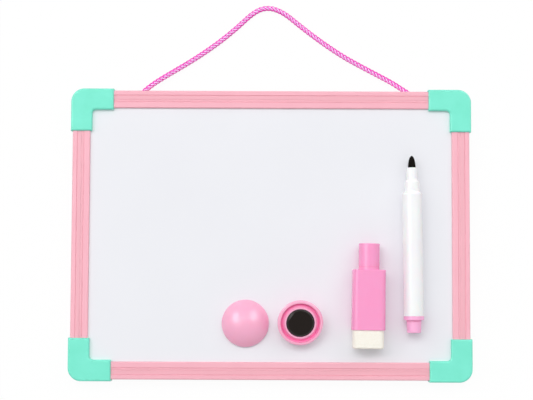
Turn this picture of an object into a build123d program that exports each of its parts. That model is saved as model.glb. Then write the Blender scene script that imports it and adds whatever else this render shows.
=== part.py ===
from build123d import *
import os
from math import cos, pi, radians, sin, sqrt, tan

# A child's mini whiteboard, lying on its back on a table. Millimetres.
# +X is to the right, +Y towards the hanging cord, +Z up out of the writing face.
# The origin is on the table, under the middle of the board.

# Board, over its corner caps
board_w = 260.0
board_h = 189.3

# Rails: hollow extrusions with a fluted face, a chamber and a slot for the panel
rail_w = 11.4
rail_t = 8.6
rail_skin = 1.2
rail_face_skin = 1.35
rail_web = 0.8
slot_depth = 3.7
slot_gap = 0.05
front_lip = 1.6
rail_outer_round = 0.9
rail_inner_round = 0.8
rail_back_round = 0.5
outer_ridge_w = 2.8
inner_ridge_w = 3.7
mid_groove_at = 5.9
groove_half_w = 0.3
groove_depth = 0.45
band_depth = 0.25

# Corner caps: sleeves over the rails' ends, with tongues in the rails' chambers
cap_wall = 1.15
rail_slip = 0.05
arm_l = 27.7
cap_outer_r = 8.6
cap_inner_r = 2.4
cap_edge_r = 1.25
cap_back_r = 0.4
tongue_l = 11.0
tongue_gap = 0.15
rail_end_gap = 0.3

# Panel: painted steel on fibreboard, with a backing sheet
sheet_t = 0.35
core_t = 3.3
panel_edge_gap = 0.1

# Hanging cord, and where and at what angle it leaves each hole in the top rail
cord_d = 3.4
cord_hole_gap = 0.2
cord_exit_run = 2.3
left_exit_x = -83.15
left_exit_angle = 45.0
right_exit_x = 88.55
right_exit_angle = 32.0
knot_gap = 0.1

# The cord's points between the holes: x, distance beyond the board's top edge, height
cord_free_points = [
    (-74.0, 6.2, 3.9),
    (-63.95, 12.55, 2.4),
    (-51.4, 20.2, 1.75),
    (-37.35, 29.75, 1.75),
    (-24.1, 40.4, 1.75),
    (-11.25, 52.65, 1.75),
    (-2.2, 55.65, 1.75),
    (7.85, 52.25, 1.75),
    (19.9, 42.3, 1.75),
    (32.5, 32.75, 1.75),
    (47.05, 22.9, 1.75),
    (60.15, 15.75, 1.75),
    (70.65, 10.1, 2.5),
    (79.4, 5.2, 3.6),
]

# Round magnets: a domed shell whose ring holds a ferrite disc
magnet_h = 10.5
magnet_rim_h = 1.4
magnet_edge_r = 1.0
magnet_rim_w = 1.8
magnet_wall = 1.3
magnet_up_d = 30.3
magnet_down_d = 29.1
disc_d = 18.1
disc_t = 3.0
disc_recess = 0.2
disc_fit = 0.05
disc_edge_r = 1.3
ring_wall = 0.95
ring_flare = 2.0
disc_seat_w = 1.0
apex_gap = 0.1
lean_front = 11.0
lean_right = 3.0

# Marker, along its axis from the end of its plug to the tip of its nib
marker_angle = 0.62
plug_l = 8.05
plug_end_r = 4.5
plug_root_r = 4.75
plug_edge_r = 0.6
flange_r = 6.5
flange_l = 2.65
flange_edge_r = 0.4
plug_insert_l = 6.0
plug_fit = 0.05
barrel_r = 6.4
barrel_l = 77.75
barrel_wall = 1.2
shoulder_l = 1.8
shoulder_step = 0.4
nose_r = 4.9
nose_l = 6.2
nose_ring_at = 1.1
nose_ring_w = 0.6
nose_ring_h = 0.15
flare_l = 1.9
neck_r = 3.55
neck_l = 7.55
neck_edge_r = 0.4
nib_r = 2.45
nib_l = 7.75
nib_fullness = 0.55
nib_seat_l = 5.0
nib_stem_r = 1.6
nib_fit = 0.05
reservoir_fit = 0.3
reservoir_rear_gap = 0.4
reservoir_front_gap = 4.4
marker_rest_gap = 0.1

# Eraser cap, along its axis from the end of its felt to its mouth
eraser_angle = -0.85
felt_w = 19.7
felt_h = 13.0
felt_l = 11.85
felt_insert_l = 7.9
felt_round = 3.15
felt_edge_r = 0.8
felt_fit = 0.05
felt_end_gap = 0.1
body_wall = 0.8
body_ledge = 0.7
body_l = 38.4
body_taper = 0.35
body_end_wall = 1.5
body_edge_r = 0.6
tube_r = 6.7
tube_l = 16.7
tube_edge_r = 0.3
tube_groove_at = 1.7
tube_groove_w = 0.4
tube_groove_depth = 0.2
mouth_gap = 0.12
mouth_depth = 30.3
sleeve_wall = 1.0
sleeve_end_wall = 1.2
sleeve_fit = 0.05
cap_magnet_w = 12.0
cap_magnet_t = 2.0
cap_magnet_felt_gap = 0.6
cap_magnet_sleeve_gap = 1.4
eraser_rest_gap = 0.05

# Where the loose pieces lie: each x from its right neighbour, each y from the bottom edge
marker_tail_from_right = 38.05
marker_tail_from_bottom = 31.9
eraser_from_marker = 29.6
eraser_from_bottom = 21.85
magnet_down_from_eraser = 43.15
magnet_down_from_bottom = 37.85
magnets_apart = 35.3
magnet_up_from_bottom = 37.4

# What follows from the sizes above
UP = Vector(0, 0, 1)
rail_inset = cap_wall + rail_slip
arm_w = rail_w + 2 * rail_inset
cap_t = rail_t + 2 * rail_inset
chamber_w = rail_w - slot_depth - rail_web - rail_skin
chamber_h = rail_t - rail_skin - rail_face_skin
chamber_mid_in = rail_skin + chamber_w / 2
chamber_mid_z = rail_inset + rail_skin + chamber_h / 2
panel_t = core_t + 2 * sheet_t
slot_t = panel_t + 2 * slot_gap
sheet_top = rail_inset + rail_t - front_lip - slot_gap
panel_bottom = sheet_top - panel_t
panel_inset = rail_inset + rail_w - slot_depth + panel_edge_gap
panel_w = board_w - 2 * panel_inset
panel_h = board_h - 2 * panel_inset
knot_r = min(chamber_w, chamber_h) / 2 - knot_gap
knot_face_at = sqrt(knot_r**2 - (cord_d / 2) ** 2)
magnet_dome_h = magnet_h - magnet_rim_h


def save(piece, node):
    """Labels a finished piece and writes it under its node's name."""
    piece.part.label = node
    export_step(piece.part, f"parts/{node}.step")


def cord_end(exit_x, angle, sideways):
    """One end of the cord: its knot's middle, its way out, the knot's face and the first bend."""
    outward = Vector(sideways * cos(radians(angle)), sin(radians(angle)), 0)
    at_hole = Vector(exit_x, board_h / 2 - rail_inset, chamber_mid_z)
    knot_middle = at_hole - outward * (chamber_mid_in / sin(radians(angle)))
    knot_face = knot_middle + outward * knot_face_at
    first_bend = at_hole + outward * cord_exit_run
    return knot_middle, outward, knot_face, first_bend


def make_rail(node, inward, board_size, length, cord_ends=()):
    """A rail whose panel slot faces inward, drilled for the ends of the cord where it has any."""
    outer_side = inward * (rail_inset - board_size / 2) + UP * rail_inset
    ridge_end = rail_w - inner_ridge_w
    band_y = rail_t - band_depth
    groove_y = rail_t - groove_depth
    with BuildPart() as rail:
        # The profile: x from the outer side towards the panel, y up from the back
        with BuildSketch(Plane(outer_side, x_dir=inward, z_dir=inward.cross(UP))):
            with BuildLine():
                face = Polyline(
                    (rail_outer_round, rail_t),
                    (outer_ridge_w, rail_t),
                    (outer_ridge_w + groove_half_w, groove_y),
                    (outer_ridge_w + 2 * groove_half_w, band_y),
                    (mid_groove_at - groove_half_w, band_y),
                    (mid_groove_at, groove_y),
                    (mid_groove_at + groove_half_w, band_y),
                    (ridge_end - 2 * groove_half_w, band_y),
                    (ridge_end - groove_half_w, groove_y),
                    (ridge_end, rail_t),
                    (rail_w - rail_inner_round, rail_t),
                )
                back = Polyline(
                    (rail_w, rail_t - rail_inner_round),
                    (rail_w, 0),
                    (0, 0),
                    (0, rail_t - rail_outer_round),
                )
                RadiusArc(face @ 1, back @ 0, rail_inner_round)
                RadiusArc(back @ 1, face @ 0, rail_outer_round)
            make_face()
            fillet(vertices().group_by(Axis.Y)[0], rail_back_round)
            with Locations((chamber_mid_in, rail_skin + chamber_h / 2)):
                Rectangle(chamber_w, chamber_h, mode=Mode.SUBTRACT)
            with Locations((rail_w - slot_depth / 2, rail_t - front_lip - slot_t / 2)):
                Rectangle(slot_depth, slot_t, mode=Mode.SUBTRACT)
        extrude(amount=length / 2, both=True)
        for knot_middle, outward, _, first_bend in cord_ends:
            with BuildSketch(Plane(knot_middle, x_dir=UP, z_dir=outward)):
                Circle(cord_d / 2 + cord_hole_gap)
            extrude(amount=(first_bend - knot_middle).length + cord_d, mode=Mode.SUBTRACT)
    save(rail, node)


def make_corner(node, side_x, side_y):
    """A corner cap: an L of two sleeves, slit for the panel, with a tongue for each rail's chamber."""
    corner_x = side_x * board_w / 2
    corner_y = side_y * board_h / 2

    def from_corner(along_x, along_y):
        return (corner_x - side_x * along_x, corner_y - side_y * along_y)

    sleeve_w = rail_w + 2 * rail_slip
    sleeve_h = rail_t + 2 * rail_slip
    sleeve_l = arm_l - arm_w
    sleeve_mid_along = arm_w + sleeve_l / 2
    tongue_w = chamber_w - 2 * tongue_gap
    tongue_h = chamber_h - 2 * tongue_gap
    tongue_mid_along = arm_w + tongue_l / 2
    tongue_mid_in = rail_inset + chamber_mid_in
    with BuildPart() as corner:
        with BuildSketch():
            with Locations(from_corner(arm_l / 2, arm_w / 2)):
                Rectangle(arm_l, arm_w)
            with Locations(from_corner(arm_w / 2, arm_l / 2)):
                Rectangle(arm_w, arm_l)
            fillet(vertices().sort_by_distance(from_corner(0, 0))[0], cap_outer_r)
            fillet(vertices().sort_by_distance(from_corner(arm_w, arm_w))[0], cap_inner_r)
        extrude(amount=cap_t)
        fillet(faces().sort_by(Axis.Z)[-1].edges(), cap_edge_r)
        fillet(faces().sort_by(Axis.Z)[0].edges(), cap_back_r)
        with Locations((*from_corner(sleeve_mid_along, arm_w / 2), cap_t / 2)):
            Box(sleeve_l, sleeve_w, sleeve_h, mode=Mode.SUBTRACT)
        with Locations((*from_corner(arm_w / 2, sleeve_mid_along), cap_t / 2)):
            Box(sleeve_w, sleeve_l, sleeve_h, mode=Mode.SUBTRACT)
        with Locations((0, 0, panel_bottom + panel_t / 2)):
            Box(panel_w + 2 * panel_edge_gap, panel_h + 2 * panel_edge_gap, slot_t, mode=Mode.SUBTRACT)
        with Locations((*from_corner(tongue_mid_along, tongue_mid_in), chamber_mid_z)):
            Box(tongue_l, tongue_w, tongue_h)
        with Locations((*from_corner(tongue_mid_in, tongue_mid_along), chamber_mid_z)):
            Box(tongue_w, tongue_l, tongue_h)
    save(corner, node)


def make_panel_layer(node, bottom, thickness):
    """One flat layer of the panel."""
    with BuildPart() as layer:
        with BuildSketch(Plane.XY.offset(bottom)):
            Rectangle(panel_w, panel_h)
        extrude(amount=thickness)
    save(layer, node)


def make_cord(route):
    """The hanging cord as a round tube from knot to knot, each bend as wide as its two runs allow."""
    radii = []
    for before, corner, after in zip(route, route[1:], route[2:]):
        run_in = corner - before
        run_out = after - corner
        half_turn = radians(run_in.get_angle(run_out)) / 2
        radii.append(0.45 * min(run_in.length, run_out.length) / tan(half_turn))
    with BuildPart() as cord:
        with BuildLine() as path:
            FilletPolyline(*route, radius=radii)
        with BuildSketch(Plane(path.line @ 0, z_dir=path.line % 0)):
            Circle(cord_d / 2)
        sweep(path=path.wires()[0])
    save(cord, "hanging_cord")
    length = path.wires()[0].length
    print("cord radii, mm:", [round(radius, 1) for radius in radii])
    print("cord length, mm:", round(length, 1))
    print("cord volume, mm3:", round(cord.part.volume, 1), "section x length:", round(pi * cord_d**2 / 4 * length, 1))


def make_knot(node, knot_middle, outward):
    """A knot pulled tight in the rail's chamber, flat where the cord leaves it."""
    with BuildPart() as knot:
        with Locations(knot_middle):
            Sphere(knot_r)
        split(bisect_by=Plane(knot_middle + outward * knot_face_at, z_dir=outward), keep=Keep.BOTTOM)
    save(knot, node)


def dome_radius(diameter):
    """The radius of the sphere that a magnet's dome is cut from."""
    return ((diameter / 2) ** 2 + magnet_dome_h**2) / (2 * magnet_dome_h)


def make_magnet(name, place, diameter, to_apex):
    """A magnet's domed shell and its disc, drawn as half sections from the rim's plane to the dome."""
    rim_r = diameter / 2
    dome_r = dome_radius(diameter)
    hollow_r = dome_r - magnet_wall
    ring_inner_r = disc_d / 2 + disc_fit
    ring_outer_r = ring_inner_r + ring_wall
    ring_root_r = ring_outer_r + ring_flare
    rim_inner_r = rim_r - magnet_rim_w
    seat_r = ring_inner_r - disc_seat_w
    seat_y = disc_recess + disc_t

    def on_hollow(radius):
        return (radius, magnet_h - dome_r + sqrt(hollow_r**2 - radius**2))

    across = to_apex.cross(Vector(0, 1, 0))
    section = Plane(place, x_dir=across, z_dir=across.cross(to_apex))
    spin = Axis(place, section.y_dir)
    with BuildPart() as dome:
        with BuildSketch(section):
            with BuildLine():
                RadiusArc((0, magnet_h), (rim_r, magnet_rim_h), dome_r)
                Line((rim_r, magnet_rim_h), (rim_r, magnet_edge_r))
                RadiusArc((rim_r - magnet_edge_r, 0), (rim_r, magnet_edge_r), -magnet_edge_r)
                Polyline(
                    (rim_r - magnet_edge_r, 0),
                    (rim_inner_r, 0),
                    on_hollow(rim_inner_r),
                )
                RadiusArc(on_hollow(ring_root_r), on_hollow(rim_inner_r), hollow_r)
                Polyline(
                    on_hollow(ring_root_r),
                    (ring_outer_r, disc_recess),
                    (ring_inner_r, disc_recess),
                    (ring_inner_r, seat_y),
                    (seat_r, seat_y),
                    on_hollow(seat_r),
                )
                RadiusArc((0, magnet_h - magnet_wall), on_hollow(seat_r), hollow_r)
                Line((0, magnet_h - magnet_wall), (0, magnet_h))
            make_face()
        revolve(axis=spin)
    save(dome, f"{name}_dome")

    with BuildPart() as disc:
        with BuildSketch(section):
            with Locations((disc_d / 4, disc_recess + disc_t / 2)):
                Rectangle(disc_d / 2, disc_t)
            fillet(vertices().group_by(Axis.X)[-1].sort_by(Axis.Y)[0], disc_edge_r)
        revolve(axis=spin)
    save(disc, f"{name}_disc")


def make_marker():
    """The marker's pieces, drawn as half sections along its axis from the end of its plug."""
    tail_x = board_w / 2 - marker_tail_from_right
    tail_y = marker_tail_from_bottom - board_h / 2
    tail = Vector(tail_x, tail_y, sheet_top + marker_rest_gap + flange_r)
    across = Vector(cos(radians(marker_angle)), sin(radians(marker_angle)), 0)
    section = Plane(tail, x_dir=across, z_dir=UP)
    spin = Axis(tail, section.y_dir)

    barrel_at = plug_l + flange_l
    shoulder_at = barrel_at + barrel_l
    nose_at = shoulder_at + shoulder_l
    flare_at = nose_at + nose_l
    neck_at = flare_at + flare_l
    nib_at = neck_at + neck_l
    nib_seat_at = nib_at - nib_seat_l
    bore_r = barrel_r - barrel_wall
    insert_end = barrel_at + plug_insert_l
    reservoir_end = shoulder_at - reservoir_front_gap

    with BuildPart() as plug:
        with BuildSketch(section):
            with BuildLine():
                Polyline(
                    (0, 0),
                    (plug_end_r, 0),
                    (plug_root_r, plug_l),
                    (flange_r, plug_l),
                    (flange_r, barrel_at),
                    (bore_r - plug_fit, barrel_at),
                    (bore_r - plug_fit, insert_end),
                    (0, insert_end),
                    close=True,
                )
            make_face()
            fillet(vertices().group_by(Axis.Y)[0].sort_by(Axis.X)[-1], plug_edge_r)
            fillet(vertices().group_by(Axis.X)[-1], flange_edge_r)
        revolve(axis=spin)
    save(plug, "marker_end_plug")

    with BuildPart() as barrel:
        with BuildSketch(section):
            with BuildLine():
                shoulder_r = (shoulder_l**2 + (barrel_r - nose_r - shoulder_step) ** 2) / 2
                shoulder_r = shoulder_r / (barrel_r - nose_r - shoulder_step)
                ring_y = nose_at + nose_ring_at
                Polyline(
                    (nose_r + shoulder_step, nose_at),
                    (nose_r, nose_at),
                    (nose_r, ring_y),
                    (nose_r + nose_ring_h, ring_y + nose_ring_w / 2),
                    (nose_r, ring_y + nose_ring_w),
                    (nose_r, flare_at),
                    (neck_r, neck_at),
                    (neck_r, nib_at - neck_edge_r),
                    (neck_r - neck_edge_r, nib_at),
                    (nib_r + nib_fit, nib_at),
                    (nib_r + nib_fit, nib_seat_at - nib_fit),
                    (nib_stem_r + nib_fit, nib_seat_at - nib_fit),
                    (nib_stem_r + nib_fit, shoulder_at),
                    (bore_r, shoulder_at),
                    (bore_r, barrel_at),
                    (barrel_r, barrel_at),
                    (barrel_r, shoulder_at),
                )
                RadiusArc((nose_r + shoulder_step, nose_at), (barrel_r, shoulder_at), shoulder_r)
            make_face()
        revolve(axis=spin)
    save(barrel, "marker_barrel")

    with BuildPart() as nib:
        with BuildSketch(section):
            with BuildLine():
                Bezier(
                    (nib_r, nib_at),
                    (nib_r, nib_at + nib_l * nib_fullness),
                    (nib_r * nib_fullness, nib_at + nib_l),
                    (0, nib_at + nib_l),
                )
                Polyline(
                    (0, nib_at + nib_l),
                    (0, reservoir_end),
                    (nib_stem_r, reservoir_end),
                    (nib_stem_r, nib_seat_at),
                    (nib_r, nib_seat_at),
                    (nib_r, nib_at),
                )
            make_face()
        revolve(axis=spin)
    save(nib, "marker_nib")

    with BuildPart() as reservoir:
        with BuildSketch(section):
            reservoir_at = insert_end + reservoir_rear_gap
            with Locations(((bore_r - reservoir_fit) / 2, (reservoir_at + reservoir_end) / 2)):
                Rectangle(bore_r - reservoir_fit, reservoir_end - reservoir_at)
        revolve(axis=spin)
    save(reservoir, "marker_reservoir")


def make_eraser_cap():
    """The marker's cap: a socket for its nose, a box body with a hidden magnet, and a felt eraser."""
    seat_w = felt_w + 2 * felt_fit
    seat_h = felt_h + 2 * felt_fit
    seat_round = felt_round + felt_fit
    body_w = seat_w + 2 * body_wall
    body_h = seat_h + 2 * body_wall
    hollow_w = seat_w - 2 * body_ledge
    hollow_h = seat_h - 2 * body_ledge
    hollow_round = seat_round - body_ledge
    seat_l = felt_insert_l + felt_end_gap
    mouth_r = nose_r + mouth_gap
    sleeve_r = mouth_r + sleeve_wall

    end_x = board_w / 2 - marker_tail_from_right - eraser_from_marker
    end_y = eraser_from_bottom - board_h / 2
    end = Vector(end_x, end_y, sheet_top + eraser_rest_gap + body_h / 2)
    across = Vector(cos(radians(eraser_angle)), sin(radians(eraser_angle)), 0)
    section = Plane(end, x_dir=across, z_dir=UP)
    along = section.y_dir
    spin = Axis(end, along)
    tube_at = felt_l + body_l
    mouth_at = tube_at + tube_l
    sleeve_end_at = mouth_at - mouth_depth - sleeve_end_wall

    def station(distance):
        return Plane(end + along * distance, x_dir=across, z_dir=along)

    with BuildPart() as felt:
        with BuildSketch(station(0)):
            RectangleRounded(felt_w, felt_h, felt_round)
        extrude(amount=felt_l + felt_insert_l)
        fillet(faces().sort_by(Axis.Y)[0].edges(), felt_edge_r)
    save(felt, "cap_felt")

    with BuildPart() as body:
        with BuildSketch(station(felt_l)):
            RectangleRounded(body_w, body_h, seat_round + body_wall)
        extrude(amount=body_l, taper=body_taper)
        fillet(faces().sort_by(Axis.Y)[-1].edges(), body_edge_r)
        with BuildSketch(station(felt_l)):
            RectangleRounded(seat_w, seat_h, seat_round)
        extrude(amount=seat_l, mode=Mode.SUBTRACT)
        with BuildSketch(station(felt_l)):
            RectangleRounded(hollow_w, hollow_h, hollow_round)
        extrude(amount=body_l - body_end_wall, mode=Mode.SUBTRACT)
        with BuildSketch(station(felt_l)):
            Circle(sleeve_r + sleeve_fit)
        extrude(amount=body_l, mode=Mode.SUBTRACT)
    save(body, "cap_body")

    with BuildPart() as tube:
        with BuildSketch(section):
            with BuildLine():
                Polyline(
                    (mouth_r, mouth_at - mouth_depth),
                    (mouth_r, mouth_at),
                    (tube_r - tube_edge_r, mouth_at),
                    (tube_r, mouth_at - tube_edge_r),
                    (tube_r, tube_at + tube_groove_at + tube_groove_w),
                    (tube_r - tube_groove_depth, tube_at + tube_groove_at + tube_groove_w),
                    (tube_r - tube_groove_depth, tube_at + tube_groove_at),
                    (tube_r, tube_at + tube_groove_at),
                    (tube_r, tube_at),
                    (sleeve_r, tube_at),
                    (sleeve_r, sleeve_end_at),
                    (0, sleeve_end_at),
                    (0, mouth_at - mouth_depth),
                    close=True,
                )
            make_face()
        revolve(axis=spin)
    save(tube, "cap_tube")

    with BuildPart() as magnet:
        magnet_at = felt_l + seat_l + cap_magnet_felt_gap
        with BuildSketch(station(magnet_at)):
            with Locations((0, (hollow_h - cap_magnet_t) / 2)):
                Rectangle(cap_magnet_w, cap_magnet_t)
        extrude(amount=sleeve_end_at - cap_magnet_sleeve_gap - magnet_at)
    save(magnet, "cap_magnet")


os.makedirs("parts", exist_ok=True)

left_end = cord_end(left_exit_x, left_exit_angle, 1)
right_end = cord_end(right_exit_x, right_exit_angle, -1)
rail_l_across = board_w - 2 * (arm_w + rail_end_gap)
rail_l_upright = board_h - 2 * (arm_w + rail_end_gap)
make_rail("rail_top", Vector(0, -1, 0), board_h, rail_l_across, (left_end, right_end))
make_rail("rail_bottom", Vector(0, 1, 0), board_h, rail_l_across)
make_rail("rail_left", Vector(1, 0, 0), board_w, rail_l_upright)
make_rail("rail_right", Vector(-1, 0, 0), board_w, rail_l_upright)

make_corner("corner_top_left", -1, 1)
make_corner("corner_top_right", 1, 1)
make_corner("corner_bottom_left", -1, -1)
make_corner("corner_bottom_right", 1, -1)

make_panel_layer("back_sheet", panel_bottom, sheet_t)
make_panel_layer("core_board", panel_bottom + sheet_t, core_t)
make_panel_layer("writing_sheet", sheet_top - sheet_t, sheet_t)

free_points = [Vector(x, board_h / 2 + beyond, z) for x, beyond, z in cord_free_points]
make_cord([left_end[2], left_end[3], *free_points, right_end[3], right_end[2]])
make_knot("cord_knot_left", left_end[0], left_end[1])
make_knot("cord_knot_right", right_end[0], right_end[1])

magnet_down_x = board_w / 2 - marker_tail_from_right - eraser_from_marker - magnet_down_from_eraser
magnet_down_y = magnet_down_from_bottom - board_h / 2
magnet_up_place = Vector(magnet_down_x - magnets_apart, magnet_up_from_bottom - board_h / 2, sheet_top)
make_magnet("magnet_up", magnet_up_place, magnet_up_d, UP)

# The turned-over magnet leans on its dome, so the middle of the dome's sphere keeps its height
down_apex = -UP.rotate(Axis.X, lean_front).rotate(Axis.Y, lean_right)
down_dome_r = dome_radius(magnet_down_d)
sphere_z = sheet_top + apex_gap + down_dome_r
magnet_down_z = sphere_z + (down_dome_r - magnet_h) * down_apex.Z
make_magnet("magnet_down", Vector(magnet_down_x, magnet_down_y, magnet_down_z), magnet_down_d, down_apex)

make_marker()
make_eraser_cap()
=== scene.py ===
import math

import bpy
import numpy as np
from mathutils import Matrix, Vector


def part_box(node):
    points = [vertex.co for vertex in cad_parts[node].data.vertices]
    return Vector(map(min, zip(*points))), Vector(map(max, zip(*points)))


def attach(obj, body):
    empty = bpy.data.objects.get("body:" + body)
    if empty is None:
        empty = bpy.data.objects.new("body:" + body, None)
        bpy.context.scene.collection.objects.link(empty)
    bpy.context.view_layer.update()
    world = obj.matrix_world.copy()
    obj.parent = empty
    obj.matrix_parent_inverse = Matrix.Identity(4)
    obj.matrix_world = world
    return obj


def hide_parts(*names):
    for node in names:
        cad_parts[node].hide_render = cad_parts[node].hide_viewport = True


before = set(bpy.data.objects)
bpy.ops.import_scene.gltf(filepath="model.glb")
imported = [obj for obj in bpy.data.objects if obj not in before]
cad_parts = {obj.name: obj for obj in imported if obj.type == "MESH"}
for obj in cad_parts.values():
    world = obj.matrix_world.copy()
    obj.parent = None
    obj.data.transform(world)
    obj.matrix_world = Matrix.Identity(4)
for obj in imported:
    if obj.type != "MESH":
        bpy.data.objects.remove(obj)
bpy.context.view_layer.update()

# A child's mini whiteboard, lying on its back. Metres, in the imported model's frame:
# +X to the right, +Y towards the hanging cord, +Z up out of the writing face.

# Hanging cord: a round braid of eight strands, four pale ones turning one way and four dark the other
cord_d = 0.0034
cord_lay = 0.0104
cord_step = 0.00026
pale_half_w = 0.00050
dark_half_w = 0.00064
strand_half_t = 0.00040
strand_weave = 0.00028
strand_sides = 12
core_r = 0.00095
strands_each_way = 4

# How the braid rolls about its line: the swing and the offset in radians, the swing's peak and its length
roll_swing = 0.22
roll_offset = -0.17
roll_at = 0.190
roll_wave = 0.170

# The cord's route, from the knot behind its left hole to the knot behind its right one
cord_route = [
    (-0.0856715, 0.0909285, 0.005425),
    (-0.0815237, 0.0950763, 0.005425),
    (-0.074, 0.10085, 0.0039),
    (-0.06395, 0.1072, 0.0024),
    (-0.0514, 0.11485, 0.00175),
    (-0.03735, 0.1244, 0.00175),
    (-0.0241, 0.13505, 0.00175),
    (-0.01125, 0.1473, 0.00175),
    (-0.0022, 0.1503, 0.00175),
    (0.00785, 0.1469, 0.00175),
    (0.0199, 0.13695, 0.00175),
    (0.0325, 0.1274, 0.00175),
    (0.04705, 0.11755, 0.00175),
    (0.06015, 0.1104, 0.00175),
    (0.07065, 0.10475, 0.0025),
    (0.0794, 0.09985, 0.0036),
    (0.0865995, 0.0946688, 0.005425),
    (0.0931982, 0.0905455, 0.005425),
]

# Camera: what it looks at, from how far, how it is tilted and rolled in degrees, and its lens
camera_target = Vector((-0.0027668, 0.0222354, 0.011))
camera_distance = 0.85
camera_tilt = 3.8466
camera_roll = 0.2315
camera_focal_px = 1315.21
image_w_px = 533
sensor_w = 36.0

# Light: an even sky, a wide lamp beyond the board's far side that gloss doesn't show, and two low soft
# boxes. A glint is a lamp that only gloss shows: one in each soft box's place, and one for long edges.
# A level is what a lamp gives a white surface that faces it.
key_direction = Vector((-0.15, 0.42, 0.89))
key_level = 0.37
key_size = (2.4, 1.2)
left_direction = Vector((-0.67, 0.36, 0.65))
left_level = 0.17
right_direction = Vector((0.57, 0.50, 0.655))
right_level = 0.155
left_glint_level = 0.50
right_glint_level = 0.36
side_direction = Vector((-0.45, 0.05, 0.89))
side_level = 0.035
side_size = (0.8, 1.6)
low_size = (1.6, 2.4)
lamp_distance = 3.0
sky_level = 0.50

# Table: half its width, the share of light it sends back, and the share of its look that is plain white
floor_half = 4.0
floor_bounce = 0.75
floor_whiteness = 0.95

# Rails: the height of their ridges, how far below it the fluted band between them lies, and the share
# of that depth at which the painted shade of the band, and of all below it, starts
ridge_top = 0.0098
band_depth = 0.00025
band_shade_from = 0.2

# Painted shade in the creases of the pink mouldings: how far off a surface still deepens another's colour,
# and how open to the air the colour is fully deep and not deep at all
crease_shade_reach = 0.004
crease_shade_full = 0.2
crease_shade_gone = 0.9

# Ferrite discs: how sharp an edge starts to be polished by wear and how sharp it fully is, 0.5 being flat
worn_from = 0.507
worn_to = 0.52

# Matted fibre: how far its hairs stray from their line
fibre_stray = 0.0015

# Eraser felt, in the cap's own directions: x across it, y from its end towards the body, z up
felt_w = 0.0197
felt_h = 0.0130
felt_l = 0.01185
felt_round = 0.00315
felt_end_round = 0.0011
felt_angle = -0.85
felt_tuck = 0.0004
felt_step = 0.00022
felt_waviness = 0.00005
felt_press_at = 0.0022
felt_press_w = 0.00022
felt_press_depth = 0.00010
felt_swell_wave = 0.0045
felt_ripple_wave = 0.0013
felt_ripple_share = 0.6
felt_highest = 0.00012
felt_fade_l = 0.0006
felt_end_rings = 9
felt_face_rings = 28
felt_seed = 7

# The felt's uneven surface: how many waves add up to it, and how their lengths and starts are spread
rolling_waves = 14
rolling_lengths = (0.7, 1.5)
rolling_starts = (0, 6.3)

# Loose hairs on the felt: each is three-cornered and lies along it from its root, through a raised
# knee, to its thin tip
felt_hairs = 1500
hair_r = 0.000018
hair_taper = (1.0, 0.8, 0.3)
hair_lengths = (0.0004, 0.0009)
hair_root_depth = 0.00005
hair_knee_heights = (0.00006, 0.00014)
hair_tip_heights = (0.00004, 0.00016)
hair_tip_sway = 0.0002
hair_free_l = 0.001
hair_corners = (0, 2.094, 4.189)


def srgb(red, green, blue):
    """A colour as it is seen, 0 to 255 a channel, as a shader's linear value."""
    linear = []
    for channel in (red, green, blue):
        share = channel / 255
        linear.append(share / 12.92 if share <= 0.04045 else ((share + 0.055) / 1.055) ** 2.4)
    return (*linear, 1.0)


def add(material, kind, inputs=None, **settings):
    """Adds a shader node. Each input is a plain value or another node's output."""
    made = material.node_tree.nodes.new(kind)
    for name, value in settings.items():
        setattr(made, name, value)
    for name, value in (inputs or {}).items():
        if isinstance(value, bpy.types.NodeSocket):
            material.node_tree.links.new(value, made.inputs[name])
        else:
            made.inputs[name].default_value = value
    return made


def start_material(name, **shader_values):
    """A new material and its shader, with values that are the same all over set on the shader."""
    material = bpy.data.materials.new(name)
    material.use_nodes = True
    shader = material.node_tree.nodes["Principled BSDF"]
    for key, value in shader_values.items():
        shader.inputs[key.replace("_", " ").title().replace("Ior", "IOR")].default_value = value
    return material, shader


def place_coordinates(material, scale=(1, 1, 1)):
    """Coordinates in metres in the part's own frame, stretched by scale."""
    place = add(material, "ShaderNodeTexCoord").outputs["Object"]
    return add(material, "ShaderNodeMapping", {"Vector": place, "Scale": scale}).outputs["Vector"]


def noise(material, where, scale, detail=2.0, rough=0.5):
    """Cloudy noise from 0 to 1, with scale waves a metre."""
    inputs = {"Vector": where, "Scale": scale, "Detail": detail, "Roughness": rough}
    return add(material, "ShaderNodeTexNoise", inputs).outputs["Fac"]


def to_range(material, value, low, high, from_low=0.3, from_high=0.7):
    """Takes a value between two levels to a new range."""
    inputs = {
        "Value": value,
        "From Min": from_low,
        "From Max": from_high,
        "To Min": low,
        "To Max": high,
    }
    return add(material, "ShaderNodeMapRange", inputs).outputs["Result"]


def mix_colours(material, share, first, second):
    """Blends two colours by a share from 0 to 1."""
    made = add(material, "ShaderNodeMix", data_type="RGBA")
    for socket, value in ((made.inputs[0], share), (made.inputs[6], first), (made.inputs[7], second)):
        if isinstance(value, bpy.types.NodeSocket):
            material.node_tree.links.new(value, socket)
        else:
            socket.default_value = value
    return made.outputs[2]


def combine(material, operation, first, second):
    """Two values worked into one."""
    return add(material, "ShaderNodeMath", {0: first, 1: second}, operation=operation).outputs[0]


def bump(material, height, depth, under=None):
    """A relief of the given depth in metres, on top of another one if there is one."""
    inputs = {"Height": height, "Distance": depth, "Strength": 1.0}
    if under is not None:
        inputs["Normal"] = under
    return add(material, "ShaderNodeBump", inputs).outputs["Normal"]


def connect(material, shader, **sockets):
    """Feeds the shader's colour, gloss, roughness and normal."""
    names = {
        "colour": "Base Color",
        "gloss": "Specular IOR Level",
        "roughness": "Roughness",
        "normal": "Normal",
    }
    for key, value in sockets.items():
        material.node_tree.links.new(value, shader.inputs[names[key]])


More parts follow.
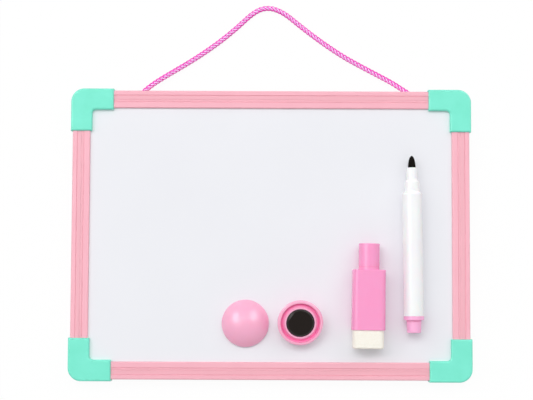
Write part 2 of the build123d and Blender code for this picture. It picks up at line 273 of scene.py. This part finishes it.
def moulded_plastic(
    name, tone, deeper_tone, roughness, gloss=0.5, milky=0.0, light_depth=0.002, crease_shade=None
):
    """Injection-moulded plastic: a drift of tone, a shallow grain, slight sink marks, and painted shade in
    creases.
    """
    material, shader = start_material(
        name,
        ior=1.5,
        specular_ior_level=gloss,
        subsurface_weight=milky,
        subsurface_radius=(1.0, 0.2, 0.35),
        subsurface_scale=light_depth,
    )
    where = place_coordinates(material)
    drift = noise(material, where, 90, 3)
    grain = noise(material, where, 2600, 2)
    sinks = noise(material, where, 110, 1)
    patches = noise(material, where, 340, 4)
    shade = mix_colours(material, to_range(material, drift, 0, 1), tone, deeper_tone)
    # Painted shade: the colour deepens where the moulding's own faces close round a crease.
    if crease_shade is not None:
        reach = {"Distance": crease_shade_reach}
        openness = add(material, "ShaderNodeAmbientOcclusion", reach, samples=8, only_local=True)
        depth = to_range(material, openness.outputs["AO"], 1, 0, crease_shade_full, crease_shade_gone)
        shade = mix_colours(material, depth, shade, crease_shade)
    gloss_drift = to_range(material, patches, roughness - 0.01, roughness + 0.01)
    connect(material, shader, colour=shade, roughness=gloss_drift)
    sunken = bump(material, sinks, 0.000003)
    connect(material, shader, normal=bump(material, grain, 0.0000004, under=sunken))
    return material


def extruded_plastic(name, along_x, tone, deeper_tone, band_shade_tone, roughness):
    """Extruded plastic: long streaks and die lines along it, and painted shade in its sunken band and below
    it.
    """
    material, shader = start_material(name, ior=1.47)
    along, across = 0.012, 1.0
    stretch = (along, across, across) if along_x else (across, along, across)
    where = place_coordinates(material, stretch)
    streaks = noise(material, where, 1500, 3)
    die_lines = noise(material, where, 5200, 2)
    cloudy = noise(material, place_coordinates(material), 60, 2)
    share = combine(material, "ADD", streaks, cloudy)
    shade = mix_colours(material, to_range(material, share, 0, 1, 0.7, 1.3), tone, deeper_tone)
    # Painted shade: the sunken fluted band, and the rail's sides below it, take a deeper tone.
    height = add(material, "ShaderNodeSeparateXYZ", {0: place_coordinates(material)}).outputs["Z"]
    band_floor = ridge_top - band_depth
    shade_start = ridge_top - band_depth * band_shade_from
    band_shade_share = to_range(material, height, 1, 0, band_floor, shade_start)
    streaky = to_range(material, streaks, 0.4, 1)
    low = combine(material, "MULTIPLY", band_shade_share, streaky)
    connect(material, shader, colour=mix_colours(material, low, shade, band_shade_tone))
    connect(material, shader, roughness=to_range(material, streaks, roughness - 0.05, roughness + 0.08))
    connect(material, shader, normal=bump(material, die_lines, 0.000002))
    return material


def enamel(name, tone, deeper_tone, roughness):
    """Glossy white paint on steel, with a slight orange peel and the haze of wiping."""
    material, shader = start_material(name, coat_weight=0.3, coat_roughness=0.12)
    where = place_coordinates(material)
    wiped = noise(material, place_coordinates(material, (0.25, 1, 1)), 70, 5, 0.6)
    cloudy = to_range(material, noise(material, where, 14, 2), 0, 1)
    shade = mix_colours(material, cloudy, tone, deeper_tone)
    peel = noise(material, where, 900, 1)
    connect(material, shader, colour=shade)
    connect(material, shader, roughness=to_range(material, wiped, roughness - 0.01, roughness + 0.015))
    connect(material, shader, normal=bump(material, peel, 0.0000006))
    return material


def sintered(name, tone, paler_tone):
    """Sintered ferrite: a dark ground face with fine grains and pits, and edges polished by wear."""
    material, shader = start_material(name)
    where = place_coordinates(material)
    grains = noise(material, where, 3400, 3, 0.7)
    pits = add(material, "ShaderNodeTexVoronoi", {"Vector": where, "Scale": 1500.0}).outputs["Distance"]
    relief = combine(material, "ADD", grains, pits)
    shade = mix_colours(material, to_range(material, grains, 0, 1, 0.45, 0.75), tone, paler_tone)
    connect(material, shader, colour=shade)
    bare_edge = add(material, "ShaderNodeNewGeometry").outputs["Pointiness"]
    connect(material, shader, gloss=to_range(material, bare_edge, 0.16, 1.0, worn_from, worn_to))
    ground = to_range(material, grains, 0.24, 0.34)
    smoothing = to_range(material, bare_edge, 1.0, 0.6, worn_from, worn_to)
    connect(material, shader, roughness=combine(material, "MULTIPLY", ground, smoothing))
    connect(material, shader, normal=bump(material, relief, 0.000002))
    return material


def pressed_fibre(name, tone, deeper_tone, depth, scale=2200, sheen=0.35, gloss=0.5):
    """Felt and other matted fibre: short tangled hairs, with a soft sheen."""
    material, shader = start_material(
        name,
        sheen_weight=sheen,
        sheen_roughness=0.5,
        specular_ior_level=gloss,
    )
    where = place_coordinates(material)
    bend = noise(material, where, scale * 0.3, 2)
    shift = combine(material, "MULTIPLY", bend, fibre_stray)
    bent = add(material, "ShaderNodeVectorMath", {0: where, 1: shift}, operation="ADD").outputs[0]
    hairs = noise(material, bent, scale, 6, 0.75)
    tufts = noise(material, where, scale * 0.2, 3)
    share = to_range(material, hairs, 0, 1, 0.35, 0.65)
    connect(material, shader, colour=mix_colours(material, share, deeper_tone, tone))
    connect(material, shader, roughness=to_range(material, tufts, 0.88, 1.0))
    rough_relief = bump(material, tufts, depth * 2)
    connect(material, shader, normal=bump(material, hairs, depth, under=rough_relief))
    return material


def yarn(name, tone, deeper_tone):
    """A strand of fine filaments that lie along it with a slight twist."""
    material, shader = start_material(
        name,
        sheen_weight=0.15,
        sheen_roughness=0.4,
        subsurface_weight=0.2,
        subsurface_radius=(1.0, 0.6, 0.9),
        subsurface_scale=0.0004,
    )
    laid = add(material, "ShaderNodeUVMap", uv_map="laid").outputs["UV"]
    where = add(material, "ShaderNodeMapping", {"Vector": laid, "Scale": (0.6, 9, 1)}).outputs["Vector"]
    filaments = noise(material, where, 3, 4, 0.7)
    share = to_range(material, filaments, 0, 1, 0.35, 0.65)
    connect(material, shader, colour=mix_colours(material, share, deeper_tone, tone))
    connect(material, shader, roughness=to_range(material, filaments, 0.5, 0.8))
    connect(material, shader, normal=bump(material, filaments, 0.00003))
    return material


# Rail tones: its own, a deeper one for streaks, and a painted shade for the sunken band and what lies below
# it.
across_tones = (srgb(249, 184, 198), srgb(246, 178, 193), srgb(241, 175, 188))
upright_tones = (srgb(251, 187, 201), srgb(248, 180, 195), srgb(241, 178, 190))
rail_across_plastic = extruded_plastic("rail_across_plastic", True, *across_tones, 0.42)
rail_upright_plastic = extruded_plastic("rail_upright_plastic", False, *upright_tones, 0.42)
corner_plastic = moulded_plastic("corner_plastic", srgb(127, 240, 215), srgb(120, 235, 208), 0.34)
board_enamel = enamel("board_enamel", srgb(240, 241, 246), srgb(238, 239, 244), 0.24)
backing_paper = pressed_fibre("backing_paper", srgb(226, 228, 232), srgb(206, 208, 214), 0.00001, scale=900)
core_fibre = pressed_fibre("core_fibre", srgb(178, 138, 98), srgb(150, 110, 72), 0.00003, scale=900)
lit_through = {"milky": 0.12, "light_depth": 0.001}
magnet_tones = (srgb(255, 178, 210), srgb(255, 175, 207))
# Painted shade: a deeper pink laid in the magnets' creases.
magnet_crease_shade = srgb(255, 150, 202)
magnet_plastic = moulded_plastic(
    "magnet_plastic", *magnet_tones, 0.24, gloss=0.9, crease_shade=magnet_crease_shade, **lit_through
)
ferrite = sintered("ferrite", srgb(21, 13, 9), srgb(32, 22, 16))
marker_plastic = moulded_plastic("marker_plastic", srgb(254, 254, 255), srgb(252, 252, 253), 0.26, milky=0.2)
ink_fibre = pressed_fibre("ink_fibre", srgb(30, 26, 22), srgb(10, 9, 8), 0.00003, sheen=0.0, gloss=0.08)
wick_fibre = pressed_fibre("wick_fibre", srgb(70, 70, 78), srgb(46, 46, 54), 0.00003)
plug_tones = (srgb(255, 184, 224), srgb(254, 178, 219))
# Painted shade: a deeper pink laid in the plug's creases.
plug_crease_shade = srgb(255, 112, 180)
plug_plastic = moulded_plastic(
    "plug_plastic", *plug_tones, 0.24, gloss=0.6, crease_shade=plug_crease_shade, **lit_through
)
cap_tones = (srgb(255, 155, 205), srgb(255, 152, 203))
# Painted shade: a deeper pink laid in the cap's creases.
cap_crease_shade = srgb(255, 128, 184)
cap_plastic = moulded_plastic(
    "cap_plastic", *cap_tones, 0.22, gloss=0.9, crease_shade=cap_crease_shade, **lit_through
)
eraser_felt = pressed_fibre("eraser_felt", srgb(255, 254, 245), srgb(251, 245, 231), 0.00003, scale=1500)
pale_yarn = yarn("pale_yarn", srgb(255, 214, 255), srgb(255, 178, 250))
dark_yarn = yarn("dark_yarn", srgb(255, 74, 206), srgb(242, 48, 184))


def paint(material, *nodes):
    """Gives CAD nodes a material."""
    for name in nodes:
        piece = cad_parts[name]
        for slot in piece.material_slots:
            slot.material = material


paint(rail_across_plastic, "rail_top", "rail_bottom")
paint(rail_upright_plastic, "rail_left", "rail_right")
paint(corner_plastic, "corner_top_left", "corner_top_right", "corner_bottom_left", "corner_bottom_right")
paint(board_enamel, "writing_sheet")
paint(backing_paper, "back_sheet")
paint(core_fibre, "core_board")
paint(magnet_plastic, "magnet_up_dome", "magnet_down_dome")
paint(plug_plastic, "marker_end_plug")
paint(ferrite, "magnet_up_disc", "magnet_down_disc", "cap_magnet")
paint(marker_plastic, "marker_barrel")
paint(ink_fibre, "marker_nib")
paint(wick_fibre, "marker_reservoir")
paint(cap_plastic, "cap_body", "cap_tube")
paint(eraser_felt, "cap_felt")
paint(dark_yarn, "cord_knot_left", "cord_knot_right")


def mesh_object(name, points, faces, materials, smooth=True):
    """A new mesh object in the part's frame."""
    mesh = bpy.data.meshes.new(name)
    mesh.from_pydata([tuple(point) for point in points], [], faces)
    for material in materials:
        mesh.materials.append(material)
    mesh.polygons.foreach_set("use_smooth", [smooth] * len(mesh.polygons))
    made = bpy.data.objects.new(name, mesh)
    bpy.context.scene.collection.objects.link(made)
    return made


def read_route(name, points):
    """Points along the smooth curve that has the route's points as its control points."""
    curve = bpy.data.curves.new(name, "CURVE")
    curve.dimensions = "3D"
    curve.resolution_u = 48
    spline = curve.splines.new("NURBS")
    spline.points.add(len(points) - 1)
    for control, point in zip(spline.points, points):
        control.co = (*point, 1.0)
    spline.order_u = 3
    spline.use_endpoint_u = True
    made = bpy.data.objects.new(name, curve)
    bpy.context.scene.collection.objects.link(made)
    bpy.context.view_layer.update()
    mesh = bpy.data.meshes.new_from_object(made)
    line = np.array([vertex.co for vertex in mesh.vertices], float)
    bpy.data.objects.remove(made)
    bpy.data.meshes.remove(mesh)
    return line


def even_points(line, step):
    """The same line with its points evenly spaced, and the distance along it of each."""
    runs = np.linalg.norm(np.diff(line, axis=0), axis=1)
    along = np.concatenate([[0.0], np.cumsum(runs)])
    distance = np.linspace(0.0, along[-1], int(along[-1] / step) + 1)
    points = np.stack([np.interp(distance, along, line[:, axis]) for axis in range(3)], axis=1)
    return points, distance


def unit(vectors):
    """The same directions, each with a length of one."""
    return vectors / np.linalg.norm(vectors, axis=1, keepdims=True)


def rings_along(points, outward, half_t, half_w, sides):
    """Oval rings round a line, thin along outward and wide across it."""
    forward = unit(np.gradient(points, axis=0))
    flat = unit(outward - np.sum(outward * forward, axis=1, keepdims=True) * forward)
    across = np.cross(forward, flat)
    turn = np.linspace(0, 2 * math.pi, sides, endpoint=False)
    rings = points[:, None, :] + half_t * np.cos(turn)[None, :, None] * flat[:, None, :]
    return rings + half_w * np.sin(turn)[None, :, None] * across[:, None, :]


def tube_faces(ring_count, sides, first):
    """Quads between rings that follow each other, numbered from the first vertex."""
    faces = []
    for ring in range(ring_count - 1):
        for side in range(sides):
            after = (side + 1) % sides
            here = first + ring * sides
            faces.append((here + side, here + after, here + sides + after, here + sides + side))
    return faces


def build_cord():
    """The braid: each strand goes over two strands of the other turn and under the next two."""
    line = read_route("cord_route", cord_route)
    points, distance = even_points(line, cord_step)
    forward = unit(np.gradient(points, axis=0))
    up = np.array([0.0, 0.0, 1.0])
    top = unit(up - (forward @ up)[:, None] * forward)
    side = np.cross(forward, top)
    roll = roll_swing * np.cos(2 * math.pi * (distance - roll_at) / roll_wave) + roll_offset
    mean_r = cord_d / 2 - strand_half_t - strand_weave
    strands = [(rings_along(points, top, core_r, core_r, strand_sides), 1)]
    for hand, half_w in ((1, pale_half_w), (-1, dark_half_w)):
        for strand in range(strands_each_way):
            turned = hand * 2 * math.pi * distance / cord_lay + strand * 2 * math.pi / strands_each_way
            radius = mean_r + hand * strand_weave * np.cos(2 * turned - math.pi / 4)
            angle = turned + roll
            outward = np.cos(angle)[:, None] * top + np.sin(angle)[:, None] * side
            centre = points + radius[:, None] * outward
            rings = rings_along(centre, outward, strand_half_t, half_w, strand_sides)
            strands.append((rings, 0 if hand > 0 else 1))
    faces, shades, laid = [], [], []
    along = distance / cord_lay * strands_each_way
    around = np.arange(strand_sides) / strand_sides
    for number, (rings, shade) in enumerate(strands):
        strand_faces = tube_faces(len(points), strand_sides, number * len(points) * strand_sides)
        faces.extend(strand_faces)
        shades.extend([shade] * len(strand_faces))
        for u, u_next in zip(along, along[1:]):
            for v in around:
                v_next = v + 1 / strand_sides
                laid.extend([(u, v), (u, v_next), (u_next, v_next), (u_next, v)])
    vertices = np.concatenate([rings.reshape(-1, 3) for rings, _ in strands])
    cord = mesh_object("hanging_cord_braid", vertices, faces, [pale_yarn, dark_yarn])
    cord.data.polygons.foreach_set("material_index", shades)
    layer = cord.data.uv_layers.new(name="laid")
    layer.data.foreach_set("uv", np.array(laid, np.float32).ravel())
    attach(cord, "board")
    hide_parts("hanging_cord")


def rounded_section(half_w, half_h, round_r, step):
    """Points round a rectangle with rounded corners, and the outward direction at each."""
    straight_w, straight_h, arc = 2 * (half_w - round_r), 2 * (half_h - round_r), round_r * math.pi / 2
    points, outward = [], []
    corners = ((1, 1, 0.0), (-1, 1, 0.5), (-1, -1, 1.0), (1, -1, 1.5))
    for number, (side_x, side_z, turn) in enumerate(corners):
        centre = np.array([side_x * (half_w - round_r), side_z * (half_h - round_r)])
        for k in range(int(arc / step) + 1):
            angle = (turn + 0.5 * k / int(arc / step)) * math.pi
            away = np.array([math.cos(angle), math.sin(angle)])
            points.append(centre + round_r * away)
            outward.append(away)
        run = straight_w if number % 2 == 0 else straight_h
        away = np.array([math.cos((turn + 0.5) * math.pi), math.sin((turn + 0.5) * math.pi)])
        across = np.array([-away[1], away[0]])
        start = points[-1]
        for k in range(1, int(run / step)):
            points.append(start + across * run * k / int(run / step))
            outward.append(away)
    return np.array(points), np.array(outward)


def rolling(points, wave, draws):
    """A smooth random height from about -1 to 1 over places in space, with waves of the given length."""
    height = np.zeros(len(points))
    for _ in range(rolling_waves):
        towards = draws.normal(size=3)
        towards /= np.linalg.norm(towards)
        length = wave * draws.uniform(*rolling_lengths)
        start = draws.uniform(*rolling_starts)
        height += np.sin(points @ towards * 2 * math.pi / length + start)
    return height / math.sqrt(rolling_waves)


def build_felt():
    """The eraser's felt: a pressed block with soft edges, an uneven surface and loose hairs."""
    draws = np.random.default_rng(felt_seed)
    low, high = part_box("cap_felt")
    turn = math.radians(felt_angle)
    across = np.array([math.cos(turn), math.sin(turn), 0.0])
    inward = np.array([-math.sin(turn), math.cos(turn), 0.0])
    up = np.array([0.0, 0.0, 1.0])
    middle = (np.array(low) + np.array(high)) / 2
    end = middle - inward * (high[1] - low[1] - felt_w * abs(math.sin(turn))) / 2 / math.cos(turn)
    section, outward = rounded_section(felt_w / 2, felt_h / 2, felt_round, felt_step)
    rings, normals = [], []

    def add_ring(inset, scale, station, lean):
        flat = (section - outward * inset) * scale
        rings.append(end + flat[:, :1] * across + flat[:, 1:] * up + station * inward)
        away = outward[:, :1] * across + outward[:, 1:] * up
        normals.append(away * math.cos(lean) - inward * math.sin(lean))

    for station in np.arange(felt_l + felt_tuck, felt_end_round, -felt_step):
        add_ring(0.0, 1.0, station, 0.0)
    for lean in np.linspace(0, math.pi / 2, felt_end_rings):
        inset = felt_end_round * (1 - math.cos(lean))
        add_ring(inset, 1.0, felt_end_round * (1 - math.sin(lean)), lean)
    for scale in np.linspace(1, 0, felt_face_rings)[1:-1]:
        add_ring(felt_end_round, scale, 0.0, math.pi / 2)
    points = np.concatenate(rings)
    normals = np.concatenate(normals)
    station = (points - end) @ inward
    swell = rolling(points, felt_swell_wave, draws)
    ripple = rolling(points, felt_ripple_wave, draws)
    height = felt_waviness * (swell + felt_ripple_share * ripple)
    height -= felt_press_depth * np.exp(-(((station - felt_press_at) / felt_press_w) ** 2))
    height = np.minimum(height, felt_highest) * np.clip((felt_l - station) / felt_fade_l, 0, 1)
    points = points + height[:, None] * normals
    sides = len(section)
    faces = tube_faces(len(rings), sides, 0)
    last = (len(rings) - 1) * sides
    points = np.concatenate([points, [points[last:].mean(axis=0)]])
    faces.extend((last + side, last + (side + 1) % sides, last + sides) for side in range(sides))
    faces.append(tuple(reversed(range(sides))))
    felt = mesh_object("eraser_felt_block", points, faces, [eraser_felt])
    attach(felt, "eraser_cap")
    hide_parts("cap_felt")

    hair_points, hair_faces = [], []
    shown = np.flatnonzero(station < felt_l - hair_free_l)
    for root in draws.choice(shown, felt_hairs, replace=False):
        away = normals[root]
        flat = np.cross(away, draws.normal(size=3))
        flat /= np.linalg.norm(flat)
        length = draws.uniform(*hair_lengths)
        side = np.cross(flat, away)
        base = points[root] - away * hair_root_depth
        knee = base + flat * length * 0.5 + away * draws.uniform(*hair_knee_heights)
        sway = side * draws.uniform(-hair_tip_sway, hair_tip_sway)
        rise = away * draws.uniform(*hair_tip_heights)
        tip = base + flat * length + sway + rise
        first = len(hair_points)
        for place, share in zip((base, knee, tip), hair_taper):
            for corner in hair_corners:
                sideways = math.cos(corner) * side + math.sin(corner) * away
                hair_points.append(place + hair_r * share * sideways)
        hair_faces.extend(tube_faces(3, 3, first))
        hair_faces.append((first + 2, first + 1, first))
        hair_faces.append((first + 6, first + 7, first + 8))
    hairs = mesh_object("eraser_felt_hairs", hair_points, hair_faces, [eraser_felt])
    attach(hairs, "eraser_cap")


def light_paths(material):
    """1 where the camera, or a mirror or glass, looks straight at this, and 0 for its light on others."""
    rays = add(material, "ShaderNodeLightPath")
    seen = rays.outputs["Is Camera Ray"]
    for name in ("Is Glossy Ray", "Is Transmission Ray"):
        seen = combine(material, "MAXIMUM", seen, rays.outputs[name])
    return seen


def build_floor():
    """A pale table, white to the eye, that keeps a soft shadow."""
    half = floor_half
    corners = [(-half, -half, 0), (half, -half, 0), (half, half, 0), (-half, half, 0)]
    material = bpy.data.materials.new("table_white")
    material.use_nodes = True
    tree = material.node_tree
    tree.nodes.remove(tree.nodes["Principled BSDF"])
    seen = light_paths(material)
    grey = (floor_bounce, floor_bounce, floor_bounce, 1.0)
    shade = mix_colours(material, seen, grey, (1.0, 1.0, 1.0, 1.0))
    lit = add(material, "ShaderNodeBsdfDiffuse", {"Color": shade}).outputs[0]
    glow = add(material, "ShaderNodeEmission", {"Strength": 1.0}).outputs[0]
    share = combine(material, "MULTIPLY", seen, floor_whiteness)
    mixed = add(material, "ShaderNodeMixShader", {0: share, 1: lit, 2: glow}).outputs[0]
    tree.links.new(mixed, tree.nodes["Material Output"].inputs["Surface"])
    floor = mesh_object("floor", corners, [(0, 1, 2, 3)], [material], smooth=False)


def build_sky():
    """An even sky that looks white and lights at its own level."""
    world = bpy.data.worlds.new("sky")
    bpy.context.scene.world = world
    world.use_nodes = True
    seen = light_paths(world)
    strength = to_range(world, seen, sky_level, 1.0, 0.0, 1.0)
    world.node_tree.links.new(strength, world.node_tree.nodes["Background"].inputs["Strength"])
    world.node_tree.nodes["Background"].inputs["Color"].default_value = (1.0, 1.0, 1.0, 1.0)


def build_softbox(name, direction, level, size, shape, lights=True, mirrored=True):
    """A wide lamp that gives a white surface facing it the given level, or only its own reflection."""
    lamp = bpy.data.lights.new(name, "AREA")
    lamp.shape = shape
    lamp.size, lamp.size_y = size
    lamp.energy = level * math.pi**2 * lamp_distance**2
    made = bpy.data.objects.new(name, lamp)
    bpy.context.scene.collection.objects.link(made)
    away = direction.normalized()
    sideways = (Vector((1, 0, 0)) - away * away.x).normalized()
    turned = Matrix((sideways, away.cross(sideways), away)).transposed().to_4x4()
    made.matrix_world = Matrix.Translation(away * lamp_distance) @ turned
    made.visible_camera = False
    made.visible_diffuse = lights
    made.visible_glossy = mirrored


def build_camera():
    """The camera, at the photograph's angle."""
    tilt = math.radians(camera_tilt)
    roll = math.radians(camera_roll)
    back = Vector((0, -math.sin(tilt), math.cos(tilt)))
    right = Vector((1, 0, 0))
    up = back.cross(right)
    rolled_right = right * math.cos(roll) + up * math.sin(roll)
    rolled_up = up * math.cos(roll) - right * math.sin(roll)
    lens = bpy.data.cameras.new("camera")
    lens.sensor_width = sensor_w
    lens.lens = camera_focal_px / image_w_px * sensor_w
    made = bpy.data.objects.new("camera", lens)
    bpy.context.scene.collection.objects.link(made)
    turned = Matrix((rolled_right, rolled_up, back)).transposed().to_4x4()
    made.matrix_world = Matrix.Translation(camera_target + back * camera_distance) @ turned
    bpy.context.scene.camera = made


build_cord()
build_felt()
build_floor()
build_sky()
build_softbox("overhead_softbox", key_direction, key_level, key_size, "RECTANGLE", mirrored=False)
build_softbox("left_softbox", left_direction, left_level, low_size, "ELLIPSE")
build_softbox("right_softbox", right_direction, right_level, low_size, "ELLIPSE")
build_softbox("left_glint", left_direction, left_glint_level, low_size, "ELLIPSE", lights=False)
build_softbox("right_glint", right_direction, right_glint_level, low_size, "ELLIPSE", lights=False)
build_softbox("side_glint", side_direction, side_level, side_size, "ELLIPSE", lights=False)
build_camera()
bpy.context.scene.view_settings.view_transform = "Standard"
